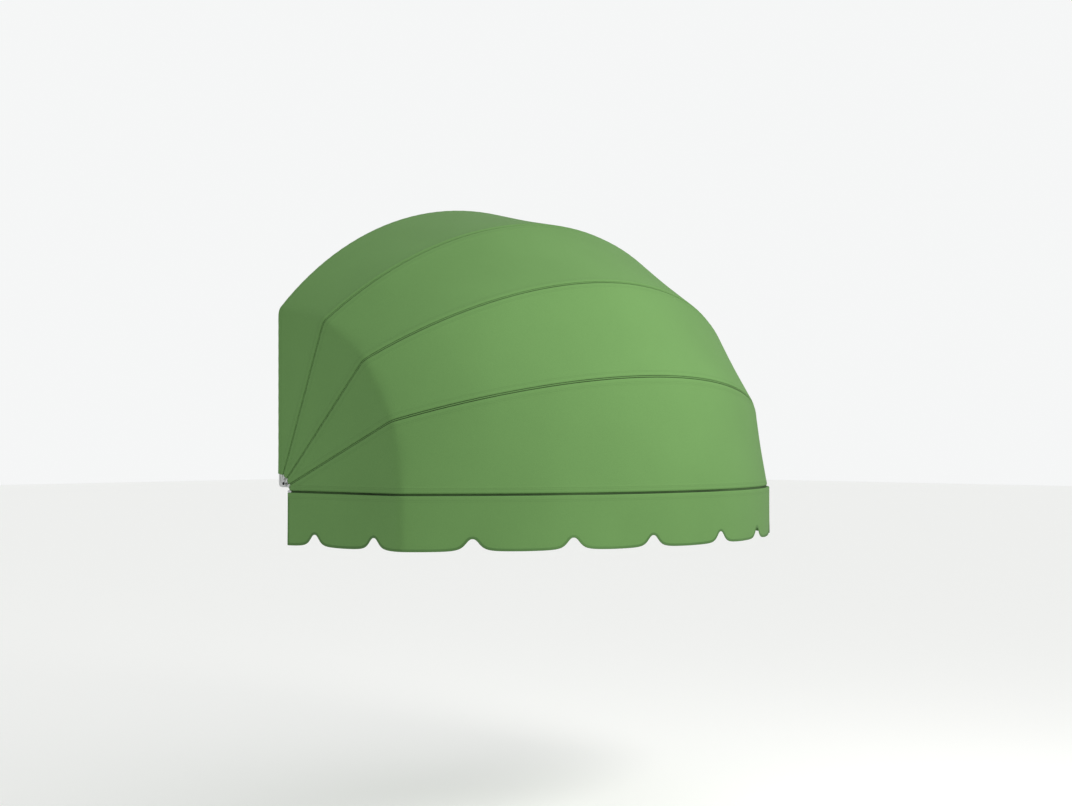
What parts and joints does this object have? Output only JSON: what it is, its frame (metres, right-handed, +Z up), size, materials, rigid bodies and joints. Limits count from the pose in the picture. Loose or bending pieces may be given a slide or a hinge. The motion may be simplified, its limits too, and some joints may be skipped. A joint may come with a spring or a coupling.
{
  "type": "window awning",
  "caption": "Folding round-fronted fabric window awning: arched bows fan from wall hinges, taut gores between them, scalloped valance below.",
  "frame": {"origin": "on the wall plane, midway between the two wall hinges and level with the open front bow's line", "axes": "+X along the wall, +Y into the wall, so the awning stands out towards -Y, and +Z up"},
  "size_m": [1.85, 1.0225, 1.1802],
  "materials": {
    "canopy_fabric": "woven acrylic awning cloth, mid green, matt",
    "bow_tube": "extruded aluminium, natural anodised, satin",
    "cast_fitting": "die-cast aluminium, light grey, fine shot-blasted surface",
    "dark_bolt": "black oxide steel",
    "zinc_steel": "bright zinc-plated steel",
    "nylon": "natural nylon"
  },
  "bodies": {
    "wall_frame": {"wall_bow_hinge_plate_left": "cast_fitting", "wall_bow_hinge_plate_right": "cast_fitting", "wall_bow_arm_left": "bow_tube", "wall_bow_arm_right": "bow_tube", "wall_bow_corner_left": "cast_fitting", "wall_bow_corner_right": "cast_fitting", "wall_bow_arch": "bow_tube", "hinge_bracket_left": "cast_fitting", "hinge_bracket_right": "cast_fitting", "hinge_pin_left": "dark_bolt", "hinge_pin_right": "dark_bolt", "hinge_nut_left": "zinc_steel", "hinge_nut_right": "zinc_steel", "wall_clip_left": "bow_tube", "wall_clip_crown": "bow_tube", "wall_clip_right": "bow_tube", "cord_pulley_fork": "zinc_steel", "cord_pulley_pin": "zinc_steel"},
    "bow_1": {"bow_1_hinge_plate_left": "cast_fitting", "bow_1_hinge_plate_right": "cast_fitting", "bow_1_arm_left": "bow_tube", "bow_1_arm_right": "bow_tube", "bow_1_corner_left": "cast_fitting", "bow_1_corner_right": "cast_fitting", "bow_1_arch": "bow_tube", "cord_guide_1": "zinc_steel", "gore_1": "canopy_fabric"},
    "bow_2": {"bow_2_hinge_plate_left": "cast_fitting", "bow_2_hinge_plate_right": "cast_fitting", "bow_2_arm_left": "bow_tube", "bow_2_arm_right": "bow_tube", "bow_2_corner_left": "cast_fitting", "bow_2_corner_right": "cast_fitting", "bow_2_arch": "bow_tube", "cord_guide_2": "zinc_steel", "gore_2": "canopy_fabric"},
    "bow_3": {"bow_3_hinge_plate_left": "cast_fitting", "bow_3_hinge_plate_right": "cast_fitting", "bow_3_arm_left": "bow_tube", "bow_3_arm_right": "bow_tube", "bow_3_corner_left": "cast_fitting", "bow_3_corner_right": "cast_fitting", "bow_3_arch": "bow_tube", "cord_guide_3": "zinc_steel", "gore_3": "canopy_fabric"},
    "front_bow": {"front_bow_hinge_plate_left": "cast_fitting", "front_bow_hinge_plate_right": "cast_fitting", "front_bow_arm_left": "bow_tube", "front_bow_arm_right": "bow_tube", "front_bow_corner_left": "cast_fitting", "front_bow_corner_right": "cast_fitting", "front_bow_arch": "bow_tube", "cord_anchor_eye": "zinc_steel", "gore_4": "canopy_fabric", "valance": "canopy_fabric"},
    "pulley_wheel": {"cord_pulley_wheel": "nylon"}
  },
  "joints": [
    {"name": "bow_1_fold", "type": "hinge", "parent": "wall_frame", "child": "bow_1", "pos_m": [0, -0.032, 0.026], "axis": [-1, 0, 0], "range_deg": [0, 22.4], "deforming": ["gore_1"]},
    {"name": "bow_2_fold", "type": "hinge", "parent": "bow_1", "child": "bow_2", "pos_m": [0, -0.032, 0.026], "axis": [-1, 0, 0], "range_deg": [0, 22.4], "deforming": ["gore_2"]},
    {"name": "bow_3_fold", "type": "hinge", "parent": "bow_2", "child": "bow_3", "pos_m": [0, -0.032, 0.026], "axis": [-1, 0, 0], "range_deg": [0, 22.4], "deforming": ["gore_3"]},
    {"name": "front_bow_fold", "type": "hinge", "parent": "bow_3", "child": "front_bow", "pos_m": [0, -0.032, 0.026], "axis": [-1, 0, 0], "range_deg": [0, 22.4], "deforming": ["gore_4"]},
    {"name": "pulley_spin", "type": "hinge", "parent": "wall_frame", "child": "pulley_wheel", "pos_m": [0, -0.0165, 0.93522], "axis": [1, 0, 0], "continuous": true}
  ],
  "couplings": [
    {"joint": "bow_1_fold", "follows": "front_bow_fold", "ratio": 1},
    {"joint": "bow_2_fold", "follows": "front_bow_fold", "ratio": 1},
    {"joint": "bow_3_fold", "follows": "front_bow_fold", "ratio": 1}
  ]
}
